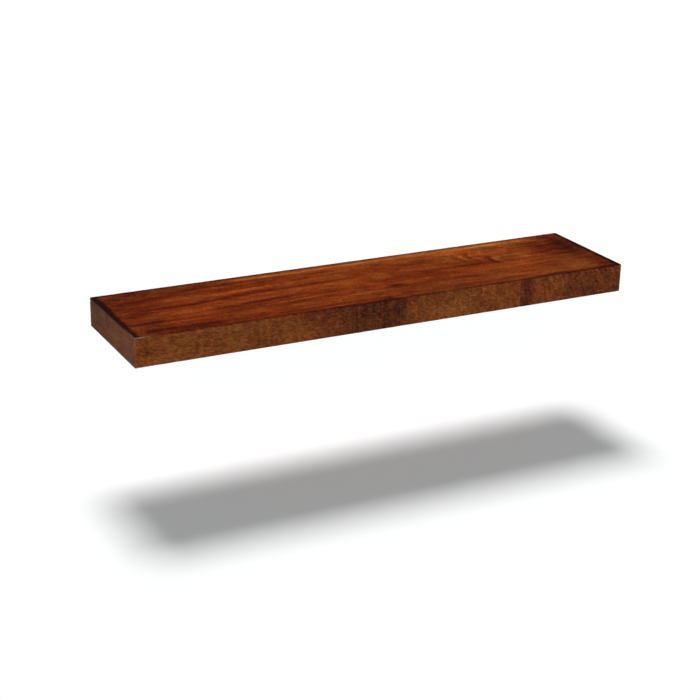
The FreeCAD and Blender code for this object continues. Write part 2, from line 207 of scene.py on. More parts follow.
def finishMaterial(material, add, values, colour, height, drift=None):
    # The surface itself: its colour, a relief by its strength and its depth in millimetres, and a
    # roughness that is even or spreads about its middle with the drift. Surface names any other sockets.
    roughness, (strength, depth) = values["roughness"], values["relief"]
    if drift is not None:
        spread = values["roughnessSpread"]
        roughness = add("Math", [drift, spread, roughness - spread / 2], operation="MULTIPLY_ADD")
    normal = add("Bump", {"Height": height, "Strength": strength, "Distance": depth * mm})
    inputs = {"Base Color": colour, "Roughness": roughness, "Normal": normal}
    surface = add("BsdfPrincipled", inputs | values.get("surface", {}))
    add("OutputMaterial", {"Surface": surface})
    return material


def makeMottled(name, values, lathe=None):
    # A finish whose colour and roughness drift in clouds over the relief of a finer grain, each given by
    # its size in millimetres and its detail. On turned work the grain is rings about the lathe's axis.
    material, add = newMaterial(name)
    place = grainPlace = add("TexCoord").outputs["Object"]
    if lathe is not None:
        # the pieces are mirrored about the middle, so one distance from the axis serves both
        folded = add("VectorMath", [place], operation="ABSOLUTE")
        toAxis = (-abs(lathe[0]), -abs(lathe[1]), 0)
        section = add("VectorMath", [folded, (1, 1, 0), toAxis], operation="MULTIPLY_ADD")
        radius = add("VectorMath", [section], operation="LENGTH")
        grainPlace = add("CombineXYZ", [radius, 0, add("SeparateXYZ", [place]).outputs["Z"]])
    clouds, grain = (add("TexNoise", {"Vector": spot, "Scale": 1 / (size * mm), "Detail": detail})
                     for spot, (size, detail) in ((place, values["clouds"]), (grainPlace, values["grain"])))
    colour = add("ValToRGB", [clouds], stops=values["stops"])
    return finishMaterial(material, add, values, colour, grain, clouds)


# stained alder veneer: red-brown dye soaked in unevenly, then a thin satin lacquer. The eye gets dark
# growth rings, short fibre streaks, cloudy patches and a soft sheen. Each layer of the figure is a
# noise: how long it is with the fibres and how wide across them in millimetres, its detail and its
# weight. Real fibres are under 0.1 mm wide and are drawn over 1 mm wide to show.

faceLook = {
    "streaks": [(420, 13, 3, 0.42), (210, 5, 3, 0.46), (80, 2.2, 3, 0.56), (24, 1.2, 5, 0.6)],
    "clouds": [(44, 20, 3, 0.46), (9, 4.6, 3, 0.36), (3.6, 2.8, 5, 0.62)],
    "gold": (90, 22), "goldSpread": 1.4, "roughness": 0.42,
    "surface": {"Specular IOR Level": 0.013},
}
edgeLook = {
    "streaks": [(60, 5, 3, 0.4), (14, 1.8, 5, 0.4)],
    "clouds": [(1.7, 4.4, 4, 0.7), (3.8, 9, 3, 0.74), (60, 46, 3, 0.3), (12, 14, 2, 0.32)],
    "gold": (26, 14), "goldSpread": 1.0, "roughness": 0.44,
    "surface": {"Specular IOR Level": 0.075},
}
endLook = {
    "streaks": [(90, 9, 3, 0.36), (26, 2.2, 5, 0.4)],
    "clouds": [(34, 22, 3, 0.4), (7, 4, 2, 0.42), (2.6, 2.2, 4, 0.3)],
    "gold": (40, 20), "goldSpread": 1.4, "roughness": 0.5,
    "surface": {"Specular IOR Level": 0.016},
}
stain = {
    "red": [(0.0, "#210702"), (0.25, "#4A1303"), (0.5, "#762C09"), (0.75, "#974716"), (1.0, "#BC6C2E")],
    "golden": [(0.0, "#28130A"), (0.25, "#4B260D"), (0.5, "#714119"), (0.75, "#8F5A28"), (1.0, "#AF7D42")],
    # the pale colour is stain worn off an edge, and also serves as a painted highlight and a painted sheen
    "wearAndPaintedShine": "#E0B8A0", "middleTone": 0.5, "layersApart": 7.3, "rippleSize": (5.5, 26, 1),
    "rippleSlant": 0.55, "roughnessSpread": 0.14, "relief": (0.12, 0.2),
}


def makeVeneer(name, look):
    values = stain | look
    material, add = newMaterial(name)
    keys = ("grain", "ring", "tone", "streaky", "curl", "golden", "wearAndPaintedShine")
    leaf = {key: add("Attribute", attribute_name=key).outputs["Fac"] for key in keys}
    place = add("CombineXYZ", [leaf["grain"], leaf["ring"]])
    tone = add("Math", [leaf["tone"], values["middleTone"]], operation="ADD")
    for level, (alongSize, acrossSize, detail, weight) in enumerate(values["streaks"] + values["clouds"]):
        # each layer is noise drawn out along the fibres and lies at its own level of the noise
        size, lift = (1 / alongSize, 1 / acrossSize, 1), (0, 0, values["layersApart"] * level)
        layerPlace = add("VectorMath", [place, size, lift], operation="MULTIPLY_ADD")
        noise = add("TexNoise", {"Vector": layerPlace, "Scale": 1.0, "Detail": detail})
        centred = add("Math", [noise, 0.5], operation="SUBTRACT")
        if level < len(values["streaks"]):
            fibres = noise
            centred = add("Math", [centred, leaf["streaky"]], operation="MULTIPLY")
        tone = add("Math", [centred, weight, tone], operation="MULTIPLY_ADD")
    # curl: ripples that lie across the fibres at a slant
    slanted = add("Math", [leaf["ring"], values["rippleSlant"], leaf["grain"]], operation="MULTIPLY_ADD")
    ripplePlace = add("CombineXYZ", [slanted, leaf["ring"]])
    ripplePlace = add("VectorMath", [ripplePlace, values["rippleSize"]], operation="DIVIDE")
    # the dye took more golden in some stretches than in others
    goldPlace = add("VectorMath", [place, (*values["gold"], 1)], operation="DIVIDE")
    ripples, gold = (add("Math", [
        add("TexNoise", {"Vector": spot, "Scale": 1.0, "Detail": 2.0}), 0.5], operation="SUBTRACT")
        for spot in (ripplePlace, goldPlace))
    tone = add("Math", [ripples, leaf["curl"], tone], operation="MULTIPLY_ADD")
    gold = add("Math", [gold, values["goldSpread"], leaf["golden"]],
               operation="MULTIPLY_ADD", use_clamp=True)
    red, golden = (add("ValToRGB", [tone], stops=values[dye]) for dye in ("red", "golden"))
    colour = add("Mix", {"Factor": gold, 6: red, 7: golden}, data_type="RGBA")
    # the pale colour is partly stain worn off the edges and partly a painted highlight on the front-left
    # corner, and on the ends a painted sheen
    paleWearAndShine = linearColour(values["wearAndPaintedShine"])
    colour = add("Mix", {"Factor": leaf["wearAndPaintedShine"], 6: colour, 7: paleWearAndShine}, data_type="RGBA")
    return finishMaterial(material, add, values, colour, fibres, fibres)


# core board: crossed plies of poplar under the veneer, sawn and sanded. The eye gets thin stripes along
# each edge, light where a ply runs with the edge and darker where it shows its end grain.

coreFinish = {
    "plyThickness": 1.08, "plyBlur": (0.42, 0.58), "veneerThickness": 0.6,
    "stops": [(0.2, "#C9A475"), (0.85, "#9A6E41")], "veneer": "#4A2212", "crossedShade": 0.45,
    "noises": [(1.11, 0.45), (22.2, 0.25)],  # fibres and clouds: size in millimetres and weight
    "roughness": 0.72, "relief": (0.4, 0.1),
}


def makeCore():
    values = coreFinish
    material, add = newMaterial("poplarCoreBoard")
    depth = add("Attribute", attribute_name="depth").outputs["Fac"]
    place = add("TexCoord").outputs["Object"]
    inCore = add("Math", [depth, values["veneerThickness"]], operation="SUBTRACT")
    inPly = add("Math", [inCore, values["plyThickness"]], operation="DIVIDE")
    odd = add("Math", [inPly, 1.0], operation="PINGPONG")
    shade = add("MapRange", [odd, *values["plyBlur"], 0.0, values["crossedShade"]],
                interpolation_type="SMOOTHSTEP")
    for size, weight in values["noises"]:
        noise = add("TexNoise", {"Vector": place, "Scale": 1 / (size * mm), "Detail": 3.0})
        shade = add("Math", [noise, weight, shade], operation="MULTIPLY_ADD")
    wood = add("ValToRGB", [shade], stops=values["stops"])
    inside = add("Math", [depth, values["veneerThickness"]], operation="GREATER_THAN")
    veneer = linearColour(values["veneer"])
    colour = add("Mix", {"Factor": inside, 6: veneer, 7: wood}, data_type="RGBA")
    return finishMaterial(material, add, values, colour, shade)


looks = {"face": faceLook, "edge": edgeLook, "end": endLook}
veneers = {key: makeVeneer(f"stainedAlder{key.title()}", look) for key, look in looks.items()}
core = makeCore()
print("veneer and core board materials made")


# the six panels. Each lies in its own plane: along runs with the grain, across is square to it, and
# along x across is outward, the way its face looks. A mitred side has the board's eased edge and slopes
# in at 45 degrees. The one square side, at the wall or the seam, only has its arris taken off. Step is
# the spacing of the mesh, along and across.

easing = {"mitre": 1.2, "square": 0.25, "steps": 5}

panelPlans = {
    "top_panel": {"along": (1, 0, 0), "across": (0, 1, 0), "square": "acrossHigh", "step": (2.2, 1.4)},
    "bottom_panel": {"along": (-1, 0, 0), "across": (0, 1, 0), "square": "acrossHigh", "step": (4.0, 2.4)},
    "front_edge_left": {"along": (1, 0, 0), "across": (0, 0, 1), "square": "alongHigh", "step": (2.0, 1.5)},
    "front_edge_right": {"along": (1, 0, 0), "across": (0, 0, 1), "square": "alongLow", "step": (2.0, 1.5)},
    "end_panel_left": {"along": (0, -1, 0), "across": (0, 0, 1), "square": "alongLow", "step": (2.4, 1.5)},
    "end_panel_right": {"along": (0, 1, 0), "across": (0, 0, 1), "square": "alongHigh", "step": (2.4, 1.5)},
}


def panelAxes(name):
    along, across = (np.array(panelPlans[name][key], float) for key in ("along", "across"))
    return along, across, np.cross(along, across)


def sideWay(low, high, spacing, lowMitred, highMitred):
    # Stations from one side of a panel to the other. Between the eased edges they are evenly spaced and
    # flat; round an edge the place stays at the edge's centre and the slope runs up to 1, which is 45
    # degrees. Also how far in the inner face ends.
    rise = np.tan(np.radians(np.linspace(0, 45, easing["steps"] + 1)))[1:]
    lowRadius, highRadius = (easing["mitre" if mitred else "square"] for mitred in (lowMitred, highMitred))
    flat = np.linspace(low + lowRadius, high - highRadius, round((high - low) / spacing) + 1)
    place = np.concatenate([np.full(easing["steps"], flat[0]), flat, np.full(easing["steps"], flat[-1])])
    slope = np.concatenate([-rise[::-1], np.zeros(len(flat)), rise])
    radius = np.where(np.arange(len(place)) < len(place) / 2, lowRadius, highRadius)
    nominal = place + radius * slope
    innerEnds = (low + panelThickness * lowMitred, high - panelThickness * highMitred)
    inner = np.interp(nominal, (low, high), innerEnds)
    return place, slope, radius, inner


def panelMesh(name):
    # Outer point = place + radius * unit(slopeAlong * along + slopeAcross * across + outward), where the
    # place lies one radius under the face. The inner face is a flat rectangle one thickness down.
    plan = panelPlans[name]
    low, high = nodeBox(name)
    # an eased edge stops just short of the board's corner, and the mitre is laid out from the corner itself
    low = np.where(low - boardLow < easing["mitre"], boardLow, low)
    high = np.where(boardHigh - high < easing["mitre"], boardHigh, high)
    axes = panelAxes(name)
    ends = [sorted((low @ axis, high @ axis)) for axis in axes]
    mitred = [[f"{way}{end}" != plan["square"] for end in ("Low", "High")] for way in ("along", "across")]
    along, across = (sideWay(*ends[k], plan["step"][k], *mitred[k]) for k in (0, 1))
    face = ends[2][1]
    (placeA, placeC), (slopeA, slopeC), (radiusA, radiusC) = (
        np.meshgrid(along[k], across[k], indexing="ij") for k in range(3))
    length = np.sqrt(slopeA ** 2 + slopeC ** 2 + 1)
    drop = np.maximum(np.where(slopeA != 0, radiusA, 0), np.where(slopeC != 0, radiusC, 0))
    a = placeA + radiusA * slopeA / length
    c = placeC + radiusC * slopeC / length
    n = face - drop * (1 - 1 / length)
    rows, columns = a.shape
    index = np.arange(rows * columns).reshape(rows, columns)
    rim = np.concatenate([index[:, 0], index[-1, 1:], index[-2::-1, -1], index[0, -2:0:-1]])
    rowOf, columnOf = np.unravel_index(rim, a.shape)
    innerFace = np.full(len(rim), face - panelThickness)
    innerPoints = np.stack([along[3][rowOf], across[3][columnOf], innerFace], -1)
    flat = np.concatenate([np.stack([a, c, n], -1).reshape(-1, 3), innerPoints])
    points = flat @ np.stack(axes)
    first, count = rows * columns, len(rim)
    k = np.arange(count)
    following = (k + 1) % count
    walls = np.stack([rim, first + k, first + following, rim[following]], -1)
    # the inner face: long strips across the board between two end polygons
    i = np.arange(1, rows - 2)
    farSide = 2 * (rows - 1) + columns - 1
    strips = np.stack([i, farSide - i, farSide - i - 1, i + 1], -1) + first
    leftEnd = [0, *range(count - 1, count - columns, -1), farSide - 1, 1]
    rightEnd = [rows - 2, farSide - rows + 2, *range(rows + columns - 2, rows - 2, -1)]
    faces = [*gridFaces(rows, columns), *walls, *strips]
    faces += [np.array(end) + first for end in (leftEnd, rightEnd)]
    return points, faces


insertShape = {
    "flangeRadius": 7.9, "flangeThickness": 1.5, "recess": 0.02, "seatGap": 0.05, "rim": 0.25,
    "rimRound": 0.3, "mouth": 0.1, "grooveRadius": 5.5, "grooveHalf": 0.3, "grooveDepth": 0.12,
    "bodyRadius": 4.9, "gap": 0.1, "barb": 0.3, "barbSpacing": 2.4, "barbLand": (0.4, 0.6), "barbStep": 0.2,
    "threadCrest": 2.99, "threadRoot": 3.45, "pitch": 1.0, "threadLead": 0.1, "threadEnd": 0.3,
    "threadStep": 0.12, "columns": 64, "drillColumns": 64, "drillBelow": 2,
}


def insertSeatCutters():
    # stepped drills: the flange's seat and the body's hole, turned about each insert's axis
    shape = insertShape
    for side in ("left", "right"):
        low, high = nodeBox(f"threaded_insert_{side}")
        centre = (low + high) / 2
        seat, hole = shape["flangeRadius"] + shape["gap"], shape["bodyRadius"] + shape["gap"]
        start, step = low[2] - shape["drillBelow"], low[2] + shape["flangeThickness"]
        section = np.array([(seat, start), (seat, step), (hole, step), (hole, high[2])])
        points = turnedPoints(centre, section[:, :1], section[:, 1:], turnAngles(shape["drillColumns"]))
        poles = [(centre[0], centre[1], start), (centre[0], centre[1], high[2])]
        yield np.concatenate([points, poles]), capFaces(len(section), shape["drillColumns"])


def cutBoard(piece, cutters):
    # drills the piece with each cutter and keeps the result as its own mesh
    for points, faces in cutters:
        drill = newPiece("drill", points, faces)
        modifier = piece.modifiers.new("drill", "BOOLEAN")
        modifier.object = drill
        modifier.operation = "DIFFERENCE"
        modifier.solver = "EXACT"
        evaluated = piece.evaluated_get(bpy.context.evaluated_depsgraph_get())
        mesh = bpy.data.meshes.new_from_object(evaluated)
        piece.modifiers.clear()
        piece.data = mesh
        bpy.data.objects.remove(drill)
    piece.data.name = piece.name


# the figure of each veneer leaf, in millimetres along the leaf from its left or wall end and across it.
# Drift moves the rings aside along the leaf, sway bends them and a knot turns them round itself. A leaf
# with a climb has upright fibres, and flecks that run down it by the climb. A streak is a line with a
# width and a strength, a patch a soft ellipse, an arc part of a ring that faces one way, a band a stretch
# of the length with a soft start and end, and an edge a rim of another tone. Gold patches are where the
# dye took more golden, curl is where the wood ripples, and streaky is how far the fibres show as lines.
# The painted sheen is a pale veil standing in for light on the lacquer: how strong it is by the leaf's
# front end, and where from the wall it starts. What a leaf hasn't got is left out, and the plain leaf
# stands in.

plainLeaf = {"knots": [], "arcs": [], "streaks": [], "bands": [], "curl": [], "climb": [], "paintedSheen": (0, 0)}

topFigure = {
    "seed": 21, "tone": 0.01, "golden": 0.06,
    "drift": [(0, 4), (130, 2), (240, -4), (345, -11), (440, -14), (560, -8), (660, 1), (914, 6)],
    "sway": [(0, 2.0), (380, 3.5), (620, 9), (914, 8)],
    "knots": [(716, 91, 6), (884, 85, 7)],
    "arcs": [(683, 59, 12, 3.6, 185, 0.17), (683, 59, 26, 5, 185, -0.13), (709, 62, 18, 3.4, 195, 0.17),
             (709, 62, 26, 3.6, 190, -0.14), (742, 90, 17, 4, 180, 0.13), (742, 90, 29, 5, 180, -0.22),
             (707, 68, 13, 4, 95, 0.12), (884, 86, 12, 2.4, -10, 0.14)],
    "streaks": [
        ([(215, 16), (420, 15), (560, 14), (720, 15), (860, 15)], 7.5, 0.3),
        ([(430, 199), (560, 199), (720, 203)], 9.0, -0.1), ([(-20, 3), (150, 3), (290, 3)], 4.0, -0.22),
        ([(40, 99), (150, 98), (215, 93)], 4.0, -0.16), ([(195, 88), (300, 85), (425, 83)], 4.5, -0.15),
        ([(185, 134), (245, 129), (300, 124), (400, 125)], 5.0, -0.17),
        ([(400, 122), (450, 116), (505, 117)], 4.0, -0.12),
        ([(515, 152), (600, 153), (690, 156), (770, 157)], 5.0, -0.1),
        ([(620, 104), (670, 101), (718, 98)], 8.0, -0.13),
        ([(100, 70), (180, 71), (330, 68)], 8.0, 0.07),
        ([(240, 104), (340, 101), (440, 100)], 6.0, 0.16),
        ([(640, 134), (720, 135), (790, 137)], 8.0, 0.16),
        ([(20, 204), (140, 203), (210, 205)], 5.0, -0.16),
        ([(205, 206), (400, 204), (540, 206)], 4.0, -0.08),
        ([(725, 206), (780, 203), (850, 206), (905, 204)], 5.0, -0.16),
        ([(460, 31), (495, 44), (530, 58)], 2.4, 0.14), ([(464, 40), (500, 53), (536, 67)], 2.6, -0.12),
        ([(546, 67), (565, 77), (584, 88)], 2.4, 0.13),
    ],
    "patches": [
        (50, 40, 44, 44, -0.24), (165, 34, 90, 20, -0.17), (110, 94, 110, 12, -0.12),
        (156, 70, 50, 8, 0.05), (126, 132, 30, 10, 0.12), (196, 144, 26, 14, -0.14),
        (48, 162, 44, 16, -0.16), (20, 186, 8, 12, 0.08), (26, 130, 44, 40, -0.14),
        (250, 190, 110, 13, -0.09), (290, 152, 60, 10, -0.06), (44, 196, 9, 8, -0.1),
        (515, 36, 34, 8, -0.09), (570, 56, 46, 14, -0.09), (657, 58, 5, 10, -0.08),
        (830, 62, 34, 36, -0.14), (565, 111, 70, 12, -0.09), (492, 154, 26, 8, -0.1),
        (892, 197, 26, 10, -0.17), (660, 36, 44, 7, 0.12), (846, 112, 36, 20, -0.08),
        (744, 136, 40, 8, 0.07), (137, 176, 14, 6, 0.06), (478, 22, 16, 8, -0.08),
        (192, 96, 40, 10, -0.06), (897, 18, 14, 12, 0.08), (16, 44, 14, 16, -0.05),
        (298, 190, 16, 9, -0.06), (497, 192, 24, 9, -0.05), (560, 70, 40, 14, 0.04),
        (560, 94, 30, 8, 0.04), (885, 142, 18, 9, 0.05), (115, 70, 30, 10, 0.05),
        # (25, 98, 9, 1.3, 0.3) is a short scratch with a painted glint, light caught in it
        (85, 191, 66, 9, -0.2), (160, 192, 190, 12, -0.09), (25, 98, 9, 1.3, 0.3),
        (230, 116, 30, 9, 0.05), (345, 46, 60, 13, 0.09), (421, 104, 14, 6, 0.08),
        (425, 166, 40, 10, 0.06), (493, 92, 16, 10, 0.08), (488, 148, 20, 7, -0.2),
        (492, 190, 22, 10, -0.11), (567, 111, 26, 12, -0.12), (600, 56, 24, 14, -0.06),
        (500, 96, 280, 14, 0.05), (630, 20, 140, 12, 0.08), (661, 28, 30, 7, 0.16),
        (690, 60, 110, 24, 0.09), (716, 94, 4, 12, -0.16), (765, 122, 50, 26, 0.11),
        (790, 70, 40, 30, 0.06), (800, 159, 18, 7, -0.12), (870, 62, 34, 46, -0.2),
        (882, 62, 16, 40, -0.12), (893, 150, 22, 60, -0.1), (835, 182, 26, 12, 0.12),
        (728, 184, 40, 14, 0.1), (640, 206, 70, 5, 0.12), (4, 60, 8, 60, -0.1),
    ],
    "goldPatches": [
        (152, 165, 32, 10, 0.4), (850, 143, 34, 25, 0.3), (846, 180, 28, 9, 0.1),
        (60, 20, 70, 14, 0.25), (20, 100, 46, 90, 0.16), (230, 192, 140, 18, -0.16),
        (330, 112, 280, 44, -0.3), (620, 46, 260, 18, -0.12), (835, 82, 50, 22, -0.14),
        (660, 55, 220, 52, 0.22), (660, 190, 280, 34, 0.26),
    ],
    "bands": [(872, 980, 36, 20, -0.12)],
    "streaky": [(0, 0.6), (90, 0.8), (180, 1.0), (450, 1.0), (640, 0.75), (914, 0.7)],
    "edges": {"left": (9.5, 0.42), "right": (9, 0.4), "front": (4, 0.16), "wall": (2.6, 0.4)},
    "curl": [(480, 60, 60, 40, 0.25), (730, 60, 110, 50, 0.3), (880, 160, 60, 40, 0.3)],
}

frontFigure = {
    "seed": 33, "tone": 0.06, "golden": 0.45,
    "drift": [(0, 0.2), (330, 0.1), (420, 0.0), (480, -0.05), (650, 0.1), (740, 0.35), (914, 0.55)],
    "climb": [(0, 0), (330, 50), (450, 66), (700, 96), (914, 112)],
    "sway": [(0, 7.0), (330, 5.0), (420, 2.5), (480, 3.0), (560, 6.0), (690, 3.0), (914, 2.6)],
    "arcs": [(488, 14, 10, 1.8, -45, 0.26), (560, 23, 15, 2.2, 200, 0.08), (620, 25, 26, 2.2, 0, 0.08)],
    "patches": [
        (18, 24, 12, 7, -0.14), (104, 21, 5, 4, -0.18), (104, 27, 3, 3, -0.1), (146, 18, 2.5, 8, -0.12),
        (130, 33, 14, 7, -0.05), (207, 27, 3, 4, -0.1), (209, 13, 3, 4, -0.1), (222, 12, 20, 7, -0.08),
        (255, 20, 8, 5, -0.04), (181, 19, 6, 5, 0.1), (62, 10, 30, 10, 0.07), (150, 40, 14, 5, 0.05),
        (266, 12, 20, 12, 0.04), (311, 20, 8, 9, 0.1), (318, 29, 8, 6, -0.08), (325, 42, 32, 12, -0.08),
        (350, 20, 1.6, 14, 0.12), (357, 20, 1.5, 12, 0.08), (536, 34, 1.5, 10, -0.12),
        (556, 12, 30, 12, 0.06), (578, 16, 30, 20, 0.08), (626, 33, 1.6, 13, 0.16),
        (619, 14, 2, 10, 0.1), (665, 25, 3, 16, 0.08), (702.5, 12, 0.8, 12, 0.2),
        (760, 23, 20, 19, 0.05), (812, 18, 12, 18, -0.06), (843, 14, 22, 18, -0.07),
        (855, 8, 8, 6, -0.08), (893, 40, 5, 4, 0.1), (95, 5, 60, 8, 0.06), (282, 8, 22, 10, 0.08),
        (590, 16, 22, 20, 0.07), (14, 44, 10, 6, -0.06), (445, 24, 12, 26, 0.03),
        (474, 44, 20, 6, -0.07), (756, 44, 10, 6, -0.06), (902, 5, 12, 8, -0.1), (860, 5, 26, 8, -0.05),
        (722, 40, 8, 14, -0.05), (35, 5, 14, 8, 0.05),
    ],
    "goldPatches": [
        (18, 24, 26, 30, -0.15), (570, 22, 60, 22, 0.12), (120, 16, 160, 40, 0.15),
        (893, 40, 8, 6, 0.3), (410, 24, 50, 40, 0.2),
    ],
    "bands": [(-60, 285, 20, 50, 0.05), (300, 480, 40, 16, -0.05), (363, 475, 26, 12, -0.13),
              (385, 448, 20, 10, -0.04), (430, 448, 10, 10, -0.06), (460, 474, 6, 6, -0.04),
              (703.5, 724, 1, 12, -0.2), (795, 914, 30, 1, -0.1)],
    "streaky": [(0, 0.05), (320, 0.2), (385, 1.3), (475, 1.3), (500, 0.5), (680, 0.8), (740, 1.0),
                (914, 1.3)],
    "edges": {"top": (2.2, 0.16), "bottom": (1.2, 0.14)},
    "curl": [(570, 24, 120, 60, 0.3), (830, 24, 90, 60, 0.3)],
}

endFigure = {
    # the ends carry a painted sheen, a pale veil that grows towards the front end
    "seed": 47, "tone": -0.05, "golden": 0.7, "paintedSheen": (0.028, -60),
    "drift": [(0, 0), (208, 14)],
    "sway": [(0, 2.0), (208, 3.0)],
    "patches": [(150, 24, 40, 16, 0.05), (30, 24, 50, 60, -0.06), (185, 30, 20, 20, 0.04)],
    "goldPatches": [(60, 34, 60, 14, 0.4)],
    "streaky": [(0, 1.0), (208, 1.0)],
    "edges": {"top": (4, 0.14)},
}

bottomFigure = {
    "seed": 58, "tone": 0.02, "golden": 0.25,
    "drift": [(0, 0), (300, 12), (620, -10), (914, 4)],
    "sway": [(0, 6), (914, 5)],
    "knots": [(300, 84, 8), (640, 112, 7)],
    "streaks": [([(60, 60), (400, 72), (800, 66)], 6.0, -0.2), ([(200, 150), (700, 160)], 8.0, -0.16)],
    "patches": [(500, 100, 120, 40, 0.1), (150, 120, 80, 40, -0.08)],
    "goldPatches": [(350, 150, 160, 40, 0.3)],
    "streaky": [(0, 0.9), (914, 0.9)],
    "edges": {"left": (10, 0.3), "right": (10, 0.3), "front": (6, 0.2)},
    "curl": [(450, 100, 300, 100, 0.25)],
}


# slow noises that bend and shade a figure: how long and how wide each is in millimetres, how far its
# seed is after the leaf's own, and how much of it there is
slowNoises = {
    "wander": (90, 45, 0, 1), "lean": (30, 30, 1, 1), "warp": (120, 50, 1, 1), "fineWarp": (45, 26, 6, 0.5),
    "streakLine": (40, 12, 7, 1), "streakShade": (60, 8, 2, 0.4), "patchShade": (30, 7, 3, 0.35),
    "bandEnd": (30, 9, 4, 0.4), "edgeReach": (30, 30, 5, 0.15),
}
# how the things in a figure are drawn, in millimetres or as a share of their own size
drawing = {
    "climbWander": 6, "patchWander": 3, "knotStretch": 1.5, "ringSpread": 2.5, "parting": 0.9,
    "partingReach": 2.6, "streakEase": 45, "easeShare": 0.3, "streakTail": 10, "arcFade": (0.3, 0.9),
    "edgeFade": (0.65, 1.3),
}


def softPatches(patches, along, across):
    # the sum of soft ellipses, each falling off as exp(-distance squared)
    total = np.zeros_like(along)
    for x, y, halfLong, halfWide, strength in patches:
        total += strength * np.exp(-((along - x) / halfLong) ** 2 - ((across - y) / halfWide) ** 2)
    return total


def leafFields(figure, along, across, sides):
    # where each point lies with and across the fibres, its tone, how golden, streaky and curly it is
    def slow(name):
        long, wide, later, amount = slowNoises[name]
        return amount * smoothNoise(along / long, across / wide, figure["seed"] + later)

    wander = slow("wander")
    drift, sway, streaky = (np.interp(along, *zip(*figure[key])) for key in ("drift", "sway", "streaky"))
    if figure["climb"]:
        # fibres that stand across the leaf, leaning by the drift, with flecks that run down by the climb
        grain = across + np.interp(along, *zip(*figure["climb"])) + drawing["climbWander"] * wander
        ring = along + drift * across + sway * slow("lean")
    else:
        grain = along
        ring = across - drift + sway * (slow("warp") + slow("fineWarp"))
    for x, y, size in figure["knots"]:
        # close to a knot the rings are ellipses round it, and further out they part to let it through
        away = np.hypot((along - x) / drawing["knotStretch"], across - y) / size
        near = np.exp(-0.5 * away ** 2)
        ring = ring * (1 - near) + near * drawing["ringSpread"] * size * away
        parting = drawing["parting"] * size * np.exp(-(away / drawing["partingReach"]) ** 2)
        ring += parting * np.tanh((across - y) / size)
    tone = np.full_like(along, figure["tone"])
    for line, wide, strength in figure["streaks"]:
        xs, ys = zip(*line)
        offset = across - np.interp(along, xs, ys) + wander + slow("streakLine")
        ease = min(drawing["streakEase"], drawing["easeShare"] * (xs[-1] - xs[0]))
        begun = smoothStep(along, xs[0] - drawing["streakTail"], xs[0] + ease)
        ended = smoothStep(along, xs[-1] - ease, xs[-1] + drawing["streakTail"])
        shade = strength * begun * (1 - ended) * (1 + slow("streakShade"))
        tone += shade * np.exp(-(offset / wide) ** 2)
    patches = softPatches(figure["patches"], along + drawing["patchWander"] * wander, across + wander)
    tone += (1 + slow("patchShade")) * patches
    for x, y, radius, wide, facing, strength in figure["arcs"]:
        dx, dy = along - x, y - across
        turned = np.cos(np.arctan2(dy, dx) - math.radians(facing))
        onArc = np.exp(-((np.hypot(dx, dy) - radius) / wide) ** 2)
        tone += strength * onArc * smoothStep(turned, *drawing["arcFade"])
    for start, end, softStart, softEnd, strength in figure["bands"]:
        begun, ended = (smoothStep((along - place) / soft + slow("bandEnd"), -0.5, 0.5)
                        for place, soft in ((start, softStart), (end, softEnd)))
        tone += strength * begun * (1 - ended)
    for side, (reach, strength) in figure["edges"].items():
        inFrom = sides[side] * (1 + slow("edgeReach"))
        fadeStart, fadeEnd = (share * reach for share in drawing["edgeFade"])
        tone -= strength * (1 - smoothStep(inFrom, fadeStart, fadeEnd))
    return {
        "grain": grain, "ring": ring, "tone": tone, "streaky": streaky,
        "curl": softPatches(figure["curl"], along, across),
        "golden": figure["golden"] + softPatches(figure["goldPatches"], along, across)}


wearAndHighlightPlaces = {
    # where hands and packing have worn the stain off the edges that leave this corner, with a painted
    # highlight laid along the same edges, along the board's length, depth and thickness: how far each is
    # worn and lit, and how strongly
    "corner": (boardLow[0], boardLow[1], boardHigh[2]),
    "edges": [(44, 0.8), (60, 0.35), (60, 0.35)],
    "width": 1.1, "patchSize": (4, 5, 3), "patchDepth": 0.35, "seed": 5,
}


def wearAndHighlightAmount(points):
    # the strongest of the worn and painted-highlight edges, each fading along itself and patchy
    values = wearAndHighlightPlaces
    away = np.abs(points - np.array(values["corner"]))
    x, y, z = (points / values["patchSize"]).T
    patchy = 1 + values["patchDepth"] * (smoothNoise(x + y, z, values["seed"]) - 1)
    amount = np.zeros(len(points))
    for way, (reach, strength) in enumerate(values["edges"]):
        beside = np.delete(away, way, axis=1).sum(axis=1)
        onEdge = np.exp(-(beside / values["width"]) ** 2) * (1 - smoothStep(away[:, way], 0.0, reach))
        amount = np.maximum(amount, strength * onEdge)
    return np.clip(amount * patchy, 0, 1)


leaves = {
    # each panel's figure and finish, and where its grain starts so that no two leaves are alike
    "top_panel": (topFigure, "face", 0), "bottom_panel": (bottomFigure, "face", 2000),
    "front_edge_left": (frontFigure, "edge", 4000), "front_edge_right": (frontFigure, "edge", 6000),
    "end_panel_left": (endFigure, "end", 8000), "end_panel_right": (endFigure, "end", 10000),
}


